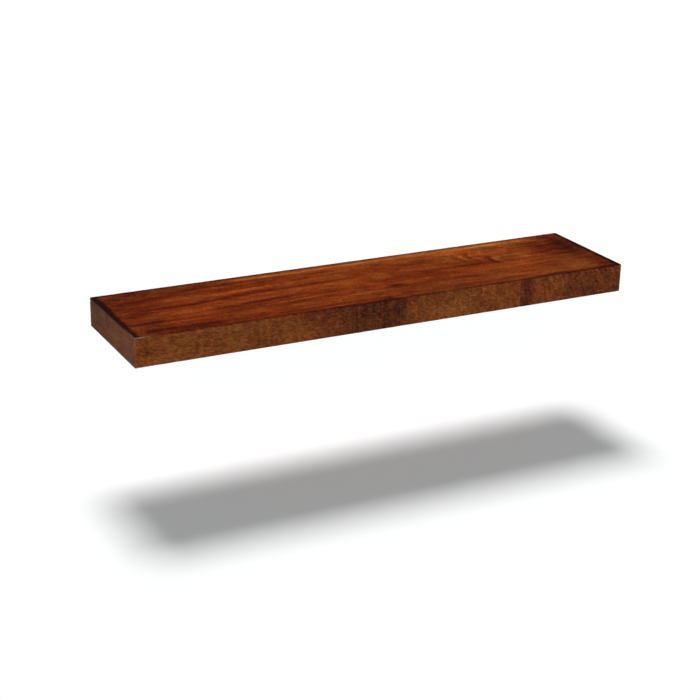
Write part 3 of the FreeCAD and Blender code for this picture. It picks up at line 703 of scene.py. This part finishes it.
def dressPanel(piece, node):
    # attributes are worked out from the finished mesh, so that drilled holes have them too
    figure, _, start = leaves[node]
    figure = plainLeaf | figure
    points = pointsOf(piece.data)
    low, high = nodeBox(node)
    outward = panelAxes(node)[2]
    face = max(low @ outward, high @ outward)
    fromLeft, fromWall, fromBottom = points[:, 0] - boardLow[0], -points[:, 1], points[:, 2] - boardLow[2]
    sides = {"left": fromLeft, "right": boardLength - fromLeft, "front": boardDepth - fromWall,
             "wall": fromWall, "bottom": fromBottom, "top": boardThickness - fromBottom}
    along = fromWall if outward[0] else fromLeft
    across = fromWall if outward[2] else fromBottom
    fields = leafFields(figure, along, across, sides)
    fields["grain"] = fields["grain"] + start
    # a painted sheen: a pale veil on the ends that grows towards the front, in place of light on the
    # lacquer
    paintedSheen, sheenStart = figure["paintedSheen"]
    sheenAmount = paintedSheen * smoothStep(fromWall, sheenStart, boardDepth)
    fields["wearAndPaintedShine"] = np.maximum(wearAndHighlightAmount(points), sheenAmount)
    fields["depth"] = face - points @ outward
    for name, values in fields.items():
        setAttribute(piece.data, name, values)


def makePanels():
    for node in panelPlans:
        piece = newPiece(node.title(), *panelMesh(node))
        if node == "bottom_panel":
            cutBoard(piece, insertSeatCutters())
        mesh = piece.data
        mesh.materials.clear()
        finishPiece(piece, veneers[leaves[node][1]], "shelf", node)
        mesh.materials.append(core)
        # what faces within 60 degrees of outward is veneer, and sawn edges and inner faces are core board
        normals = np.empty(len(mesh.polygons) * 3)
        mesh.polygons.foreach_get("normal", normals)
        facing = normals.reshape(-1, 3) @ panelAxes(node)[2]
        mesh.polygons.foreach_set("material_index", (facing < math.cos(math.radians(60))).astype(np.int32))
        dressPanel(piece, node)
    print("panels made:", len(panelPlans))


makePanels()


# planed pine: pale yellow early wood and narrow orange late wood in rings about 3 mm apart, drawn out
# along the grain, with a dry matt surface.

pineFinish = {
    "stops": [(0.1, "#D9B57E"), (0.6, "#CFA468"), (1.0, "#A9743C")], "ringSpacing": 3.2,
    "pith": (11.0, 11.0, -46.0), "sway": 26.0, "swaySize": (160.0, 60.0), "fibreSize": (14.0, 0.5),
    "fibreShade": 0.3, "roughness": 0.66, "relief": (0.35, 0.1),
}


def makePine(name, grainWay):
    # the rings are cylinders about a pith line beside the timber, bent by a slow sway; sizes are along
    # the grain and across it
    values = pineFinish
    material, add = newMaterial(name)
    acrossWay = 1 - np.array(grainWay)
    local = add("VectorMath", {0: add("TexCoord").outputs["Object"], "Scale": 1 / mm}, operation="SCALE")
    sway, fibres = (add("TexNoise", {
        "Vector": add("VectorMath", [local, np.where(grainWay, *values[size])], operation="DIVIDE"),
        "Scale": 1.0, "Detail": detail}) for size, detail in (("swaySize", 2.0), ("fibreSize", 3.0)))
    section = add("VectorMath", [local, acrossWay, acrossWay * values["pith"]], operation="MULTIPLY_ADD")
    bend = acrossWay * values["sway"]
    bent = add("VectorMath", [sway.outputs["Color"], bend, section], operation="MULTIPLY_ADD")
    radius = add("VectorMath", [bent], operation="LENGTH")
    rings = add("Math", [radius, values["ringSpacing"]], operation="DIVIDE")
    inRing = add("Math", [rings], operation="FRACT")
    shade = add("Math", [fibres, values["fibreShade"], inRing], operation="MULTIPLY_ADD")
    colour = add("ValToRGB", [shade], stops=values["stops"])
    return finishMaterial(material, add, values, colour, fibres)


def paintTimbers():
    alongBoard = makePine("planedPineAlongBoard", (1, 0, 0))
    acrossBoard = makePine("planedPineAcrossBoard", (0, 1, 0))
    for name in ("front_rail", "back_rail"):
        paintNode(name, alongBoard)
    for name in ("end_rail_left", "end_rail_right", "rib_left", "rib_right",
                 "rod_block_left", "rod_block_centre", "rod_block_right"):
        paintNode(name, acrossBoard)
    print("frame timbers painted")


paintTimbers()


# dowels of bare beech: pale pinkish tan with small brown flecks, 1 to 3 mm long, that lie along the peg.

beechFinish = {
    "stops": [(0.3, "#D8B489"), (0.75, "#B98A5C")], "fleck": "#8F5F38", "fleckEdge": (0.62, 0.72),
    "grainSize": (20.0, 0.8, 1.0), "fleckSize": (2.2, 0.35, 1.0), "roughness": 0.62, "relief": (0.3, 0.1),
}

dowelShape = {
    "radius": 3.96, "flute": 0.3, "flutes": 16, "length": 24.0, "chamfer": 1.0, "chamferIn": 0.8,
    "columns": 48, "rise": 9.0, "beside": 12.5, "grainApart": 40,
}


def makeBeech():
    values = beechFinish
    material, add = newMaterial("bareBeech")
    place = add("CombineXYZ", [
        add("Attribute", attribute_name=key).outputs["Fac"] for key in ("alongPeg", "aroundPeg")])
    grain, flecks = (add("TexNoise", {
        "Vector": add("VectorMath", [place, values[size]], operation="DIVIDE"),
        "Scale": 1.0, "Detail": detail}) for size, detail in (("grainSize", 3.0), ("fleckSize", 1.0)))
    wood = add("ValToRGB", [grain], stops=values["stops"])
    amount = add("MapRange", [flecks, *values["fleckEdge"]])
    fleck = linearColour(values["fleck"])
    colour = add("Mix", {"Factor": amount, 6: wood, 7: fleck}, data_type="RGBA")
    return finishMaterial(material, add, values, colour, grain)


def dowelJoints():
    # the middle of each dowel and the way it lies, worked out from the timbers that it joins
    frontFace = nodeBox("front_rail")[1][1]
    backLow, backHigh = nodeBox("back_rail")
    backFace, backMiddle = backLow[1], (backLow[1] + backHigh[1]) / 2
    for side in ("left", "right"):
        rib, rail = (nodeCentre(f"{kind}_{side}")[0] for kind in ("rib", "end_rail"))
        railSide = backLow[0] if side == "left" else backHigh[0]
        for rise in (-dowelShape["rise"], dowelShape["rise"]):
            yield (rib, frontFace, rise), (0, 1, 0)
            yield (rib, backFace, rise), (0, 1, 0)
            yield (rail, frontFace, rise), (0, 1, 0)
            yield (railSide, backMiddle, rise), (1, 0, 0)
    for side in ("left", "centre", "right"):
        middle = nodeCentre(f"rod_block_{side}")[0]
        for beside in (-dowelShape["beside"], dowelShape["beside"]):
            yield (middle + beside, frontFace, 0), (0, 1, 0)
            yield (middle + beside, backFace, 0), (0, 1, 0)


def makeDowels():
    # Each peg is a tube whose radius dips in flutes: radius - flute * (half + half cos(flutes * angle))^2,
    # with both ends chamfered and closed. Its own axis is then turned to the way it lies.
    shape = dowelShape
    half, full = shape["length"] / 2, shape["length"] / 2 - shape["chamfer"]
    angle = turnAngles(shape["columns"])
    fluted = shape["radius"] - shape["flute"] * (0.5 + 0.5 * np.cos(shape["flutes"] * angle)) ** 2
    place = np.array([-half, -full, 0, full, half])[:, None]
    radius = fluted - np.array([shape["chamferIn"], 0, 0, 0, shape["chamferIn"]])[:, None]
    peg = np.concatenate([turnedPoints((0, 0), radius, place, angle), [(0, 0, -half), (0, 0, half)]])
    around = np.append(np.broadcast_to(angle * shape["radius"], radius.shape), [0, 0])
    joints = list(dowelJoints())
    pegFaces = capFaces(*radius.shape)
    faces = [face + number * len(peg) for number in range(len(joints)) for face in pegFaces]
    points = np.concatenate([
        np.array(middle) + (peg[:, [2, 0, 1]] if way[0] else peg[:, [1, 2, 0]]) for middle, way in joints])
    piece = newPiece("Fluted_Dowels", points, faces)
    apart = shape["grainApart"] * np.repeat(np.arange(len(joints)), len(peg))
    setAttribute(piece.data, "alongPeg", np.tile(peg[:, 2], len(joints)) + apart)
    setAttribute(piece.data, "aroundPeg", np.tile(around, len(joints)))
    finishPiece(piece, makeBeech(), "shelf", "frame_dowels")
    print("dowels made:", len(joints))


makeDowels()


# the wall bracket. The plate has a baked powder coat: soft black with a fine orange peel, and dust in
# the peel that greys it in clouds.

coatFinish = {
    "stops": [(0.35, "#1C1C1E"), (0.75, "#2C2B2A")], "clouds": (31.25, 4.0), "grain": (0.9, 2.0),
    "roughness": 0.46, "roughnessSpread": 0.2, "relief": (0.35, 0.12),
}


# Bright zinc on drawn bar: a cool pale grey metal with lines along the rod, dulled in streaks on the top
# and underside where the bores bear on it. Drawn lines are about 0.1 mm wide and are drawn 0.5 mm wide.

zincFinish = {
    "stops": [(0.1, "#C6C9CB"), (1.0, "#8D9092")], "surface": {"Metallic": 1.0},
    "roughness": 0.35, "roughnessSpread": 0.22, "relief": (0.3, 0.04),
    # how wide and how long each noise is
    "lines": (0.5, 70.0), "streaks": (0.9, 26.0), "clouds": (9.0, 9.0),
    "wornEdge": (0.5, 0.68), "cloudShade": 0.35, "bearing": (3.6, 6.0), "besideBearing": 0.35,
}


def makeZinc():
    values = zincFinish
    material, add = newMaterial("brightZincOnDrawnBar")
    local = add("VectorMath", {0: add("TexCoord").outputs["Object"], "Scale": 1 / mm}, operation="SCALE")
    lines, streaks, clouds = (add("TexNoise", {
        "Vector": add("VectorMath", [local, (width, length, width)], operation="DIVIDE"),
        "Scale": 1.0, "Detail": 3.0}) for width, length in (values[key] for key in (
            "lines", "streaks", "clouds")))
    height = add("Math", [add("SeparateXYZ", [local]).outputs["Z"]], operation="ABSOLUTE")
    bearing = add("MapRange", [height, *values["bearing"], values["besideBearing"], 1.0])
    worn = add("MapRange", [streaks, *values["wornEdge"]])
    worn = add("Math", [worn, bearing], operation="MULTIPLY")
    worn = add("Math", [clouds, values["cloudShade"], worn], operation="MULTIPLY_ADD")
    colour = add("ValToRGB", [worn], stops=values["stops"])
    return finishMaterial(material, add, values, colour, lines, worn)


# weld beads: grey steel laid in overlapping crescents, blue-brown where the plate was hottest and straw
# coloured towards the rod.

weldFinish = {
    "stops": [(0.42, "#4A4B57"), (0.7, "#85827E"), (1.0, "#A08C62")], "climb": 0.55,
    "cloudSize": 2.86, "gritSize": 0.385, "surface": {"Metallic": 1.0},
    "roughness": 0.42, "roughnessSpread": 0.2, "relief": (0.3, 0.05),
}

weldShape = {
    "leg": 3.05, "bulge": 1.5, "ripples": 38, "ripple": 0.03, "lag": 1.6,
    "unevenness": 0.04, "unevenRate": 3, "columns": 264, "rows": 14, "root": 0.04,
}


def makeWeldSteel():
    values = weldFinish
    material, add = newMaterial("heatTintedWeldSteel")
    up = add("Attribute", attribute_name="upBead").outputs["Fac"]
    place = add("TexCoord").outputs["Object"]
    clouds, grit = (add("TexNoise", {"Vector": place, "Scale": 1 / (values[size] * mm), "Detail": 3.0})
                    for size in ("cloudSize", "gritSize"))
    tint = add("Math", [up, values["climb"], clouds], operation="MULTIPLY_ADD")
    colour = add("ValToRGB", [tint], stops=values["stops"])
    return finishMaterial(material, add, values, colour, grit, grit)


def makeWelds():
    # A bead run round each rod's root. Its section is out = leg * cos(t)^bulge, up = leg * sin(t)^bulge
    # with t from 0 to 90 degrees, swollen by ripples, abs(sin(ripples * angle / 2 + lag * (t/45 - 1)^2)).
    shape = weldShape
    around = turnAngles(shape["columns"])
    t = np.linspace(0, np.pi / 2, shape["rows"])[:, None]
    ripple = np.abs(np.sin(shape["ripples"] * around / 2 + shape["lag"] * (t / (np.pi / 4) - 1) ** 2))
    points, upBead = [], []
    for seed, side in enumerate(("left", "centre", "right")):
        rodLow, rodHigh = nodeBox(f"bracket_rod_{side}")
        centre, plateFace = (rodLow + rodHigh) / 2, rodHigh[1]
        uneven = smoothNoise(around * shape["unevenRate"], t + 0 * around, seed)
        swell = 1 + shape["ripple"] * (2 * ripple - 1) + shape["unevenness"] * uneven
        out, up = (shape["leg"] * wave ** shape["bulge"] * swell for wave in (np.cos(t), np.sin(t)))
        root = np.full_like(around, -shape["root"])
        radius = (rodHigh[0] - rodLow[0]) / 2 + np.concatenate([out, root])
        x, z = centre[0] + radius * np.cos(around), centre[2] + radius * np.sin(around)
        points.append(np.stack([x, plateFace - np.concatenate([up, root]), z], -1).reshape(-1, 3))
        upBead.append(np.concatenate([np.broadcast_to(t / (np.pi / 2), up.shape), 0 * root]).ravel())
    ring = gridFaces(shape["rows"] + 1, shape["columns"], closedRows=True, closedColumns=True)[:, ::-1]
    faces = np.concatenate([ring + number * len(points[0]) for number in range(len(points))])
    piece = newPiece("Rod_Weld_Beads", np.concatenate(points), faces, sharpAngle=60)
    setAttribute(piece.data, "upBead", np.concatenate(upBead))
    finishPiece(piece, makeWeldSteel(), "wall_bracket", "rod_welds")


def makeBracket():
    paintNode("bracket_plate", makeMottled("powderCoatedSteel", coatFinish))
    zinc = makeZinc()
    for side in ("left", "centre", "right"):
        paintNode(f"bracket_rod_{side}", zinc)
    makeWelds()
    print("bracket finished")


makeBracket()


# inserts of turned brass: a warm yellow metal with fine rings of tool marks and slight tarnish.

brassFinish = {
    "stops": [(0.35, "#E3C27E"), (0.75, "#A98246")], "clouds": (3.03, 4.0), "grain": (0.2, 2.0),
    "roughness": 0.27, "roughnessSpread": 0.2, "relief": (0.4, 0.03), "surface": {"Metallic": 1.0},
}
threadForm = {"crest": 0.2, "slope": 0.65}


def threadRadius(height, angle, pitch, inner, outer):
    # a right-hand thread: the radius falls from outer to inner and back once per pitch, with a flat
    # crest and a flat root, and the whole wave climbs one pitch per turn
    turn = (height / pitch - angle / (2 * np.pi)) % 1
    wave = np.clip((np.abs(2 * turn - 1) - threadForm["crest"]) / threadForm["slope"], 0, 1)
    return inner + (outer - inner) * wave


def insertMesh(low, high):
    # A ring of one closed section: flange face with a turned groove, rim, body with barbs, top, and the
    # bore with its thread. The barbs are a saw tooth of the radius along the height.
    shape = insertShape
    centre, bottom, top = (low + high) / 2, low[2] + shape["recess"], high[2]
    flange = bottom + shape["flangeThickness"] - shape["seatGap"]
    rim, wide, body, barb = shape["rim"], shape["flangeRadius"], shape["bodyRadius"], shape["barb"]
    groove, half, root = shape["grooveRadius"], shape["grooveHalf"], shape["threadRoot"]
    cut = shape["rimRound"] * rim
    outside = [(root + shape["mouth"], bottom), (groove - half, bottom),
               (groove, bottom + shape["grooveDepth"]), (groove + half, bottom), (wide - rim, bottom),
               (wide - cut, bottom + cut), (wide, bottom + rim), (wide, flange - rim),
               (wide - rim, flange), (body - barb, flange)]
    landLow, landHigh = shape["barbLand"]
    barbRise = np.arange(flange + landLow, top - landHigh, shape["barbStep"])
    barbs = body - barb * (((barbRise - flange) / shape["barbSpacing"]) % 1)
    outer = np.array(outside + [*zip(barbs, barbRise), (body - barb, top), (root, top)])
    angle = turnAngles(shape["columns"])
    fall = np.arange(top - shape["threadLead"], bottom + shape["threadEnd"], -shape["threadStep"])[:, None]
    thread = threadRadius(fall, angle, shape["pitch"], shape["threadCrest"], root)
    radius = np.concatenate([np.broadcast_to(outer[:, :1], (len(outer), angle.size)), thread])
    height = np.concatenate([outer[:, 1:], fall])
    faces = gridFaces(*radius.shape, closedRows=True, closedColumns=True)[:, ::-1]
    return turnedPoints(centre, radius, height, angle), faces


# lock screws in oiled black oxide: near black with a brownish cast, greyer where handling has rubbed it.

oxideFinish = {
    "stops": [(0.4, "#1D1B1A"), (0.8, "#4A4542")], "clouds": (1.67, 3.0), "grain": (0.125, 3.0),
    "roughness": 0.365, "roughnessSpread": 0.25, "relief": (0.2, 0.02), "surface": {"Metallic": 0.85},
}

lockScrewShape = {
    "crest": 2.94, "root": 2.42, "pitch": 1.0, "point": 1.0, "startIn": 0.1, "socketFlats": 3.0,
    "socketDepth": 4.0, "drillDepth": 0.9, "socketLead": 0.2, "columns": 48, "rowStep": 0.1,
}


def lockScrewMesh(low, high):
    # One surface from the middle of the socket's floor, down its hexagonal wall, out over the end, up
    # the thread and in over the point. The hexagon's radius is half its flats / cos(angle from a flat).
    shape = lockScrewShape
    centre, bottom, top = (low + high) / 2, low[2], high[2]
    angle = turnAngles(shape["columns"])
    fromFlat = (angle + np.pi / 6) % (np.pi / 3) - np.pi / 6
    hexagon = shape["socketFlats"] / 2 / np.cos(fromFlat)
    mouth = np.maximum(hexagon, shape["socketFlats"] / 2 + shape["socketLead"])
    socketTop = bottom + shape["socketDepth"]
    socket = [(hexagon / 2, socketTop + shape["drillDepth"] / 2), (hexagon, socketTop),
              (hexagon, bottom + shape["socketLead"]), (mouth, bottom)]
    rise = np.linspace(bottom, top, round((top - bottom) / shape["rowStep"]) + 1)[:, None]
    lowLimit = shape["root"] - shape["startIn"] + (rise - bottom)
    highLimit = shape["crest"] - shape["point"] + (top - rise)
    thread = threadRadius(rise, angle, shape["pitch"], shape["root"], shape["crest"])
    thread = np.minimum(thread, np.minimum(lowLimit, highLimit))
    radius = np.concatenate([ring for ring, _ in socket] + [thread])
    height = np.concatenate([[[level]] for _, level in socket] + [rise])
    poles = [(centre[0], centre[1], socketTop + shape["drillDepth"]), (centre[0], centre[1], top)]
    return np.concatenate([turnedPoints(centre, radius, height, angle), poles]), capFaces(*radius.shape)


def makeInsertsAndScrews():
    brass = makeMottled("turnedBrass", brassFinish, nodeCentre("threaded_insert_right") * mm)
    oxide = makeMottled("oiledBlackOxide", oxideFinish)
    for side in ("left", "right"):
        insert, screw = f"threaded_insert_{side}", f"lock_screw_{side}"
        bush = newPiece(insert.title(), *insertMesh(*nodeBox(insert)))
        finishPiece(bush, brass, "shelf", insert)
        grub = newPiece(screw.title(), *lockScrewMesh(*nodeBox(screw)))
        finishPiece(grub, oxide, screw, screw)
    print("inserts and lock screws made")


makeInsertsAndScrews()


# the floor, the light and the camera

stageValues = {
    "floorHeight": -278.0, "floorRadius": 32000.0, "floorSides": 96, "floorColour": (0.78, 0.78, 0.78, 1.0),
    "floorGlow": 0.241, "glowColour": (0.94, 1.0, 1.005, 1.0),
    "horizon": 0.98, "overhead": 0.06, "fadeFrom": 0.5, "fadeTo": 5,
}

lampValues = {
    "keyLight": {"way": (-0.1004, -0.515, -1.0), "strength": 3.12, "angle": 20.5},
    "frontFill": {"way": (0.43, 0.9, -0.1), "strength": 1.05, "angle": 60},
}

cameraValues = {
    "place": (-1.23719, -2.40484, 0.90532), "turn": (68.8827, -1.2229, -27.2368), "lens": 83.027,
    "sensor": 36, "clipEnd": 200,
}


def makeFloor():
    # A wide disc that gives back the lamps' light, and glows a little to the camera and to glossy rays
    # so that it stays white. The glow is a touch cool, to cancel the warm light that the wood throws into
    # its own shadow. From below the disc lets the view through.
    angle = turnAngles(stageValues["floorSides"])[0]
    radius, height = stageValues["floorRadius"], stageValues["floorHeight"]
    rim = np.stack([radius * np.cos(angle), radius * np.sin(angle), np.full_like(angle, height)], -1)
    floor = newPiece("Floor", rim, [range(len(rim))])
    material, add = newMaterial("paperFloor")
    path = add("LightPath").outputs
    seen = add("Math", [path["Is Camera Ray"], path["Is Glossy Ray"]], operation="MAXIMUM")
    seen = add("Math", [seen, path["Is Transmission Ray"]], operation="MAXIMUM")
    glow = add("Math", [seen, stageValues["floorGlow"]], operation="MULTIPLY")
    paper = add("BsdfDiffuse", {"Color": stageValues["floorColour"]})
    light = add("Emission", {"Color": stageValues["glowColour"], "Strength": glow})
    both = add("AddShader", [paper, light])
    back = add("NewGeometry").outputs["Backfacing"]
    surface = add("MixShader", [back, both, add("BsdfTransparent")])
    add("OutputMaterial", {"Surface": surface})
    floor.data.materials.append(material)


def makeSun(name, way, strength, angle):
    lamp = bpy.data.lights.new(name, "SUN")
    lamp.energy = strength
    lamp.angle = math.radians(angle)
    holder = bpy.data.objects.new(name, lamp)
    bpy.context.scene.collection.objects.link(holder)
    holder.rotation_mode = "QUATERNION"
    holder.rotation_quaternion = Vector(way).to_track_quat("-Z", "Y")


def makeWorld():
    # pale at the horizon and dim overhead, as in a studio with a white sweep and a dark ceiling
    world = bpy.data.worlds.new("studio")
    world.use_nodes = True
    world.node_tree.nodes.clear()
    add = functools.partial(addNode, world.node_tree)
    way = add("TexCoord").outputs["Generated"]
    height = add("SeparateXYZ", [way]).outputs["Z"]
    low, high = (math.sin(math.radians(stageValues[key])) for key in ("fadeFrom", "fadeTo"))
    levels = (stageValues["horizon"], stageValues["overhead"])
    strength = add("MapRange", [height, low, high, *levels], interpolation_type="SMOOTHSTEP")
    sky = add("Background", {"Color": (1, 1, 1, 1), "Strength": strength})
    add("OutputWorld", {"Surface": sky})
    bpy.context.scene.world = world


def makeCamera():
    data = bpy.data.cameras.new("camera")
    data.lens, data.sensor_width = cameraValues["lens"], cameraValues["sensor"]
    data.clip_end = cameraValues["clipEnd"]
    camera = bpy.data.objects.new("camera", data)
    bpy.context.scene.collection.objects.link(camera)
    camera.location = cameraValues["place"]
    camera.rotation_euler = [math.radians(angle) for angle in cameraValues["turn"]]
    bpy.context.scene.camera = camera


makeFloor()
for name, values in lampValues.items():
    makeSun(name, **values)
makeWorld()
makeCamera()
bpy.context.scene.view_settings.view_transform = "Standard"
print("stage, lights and camera made")
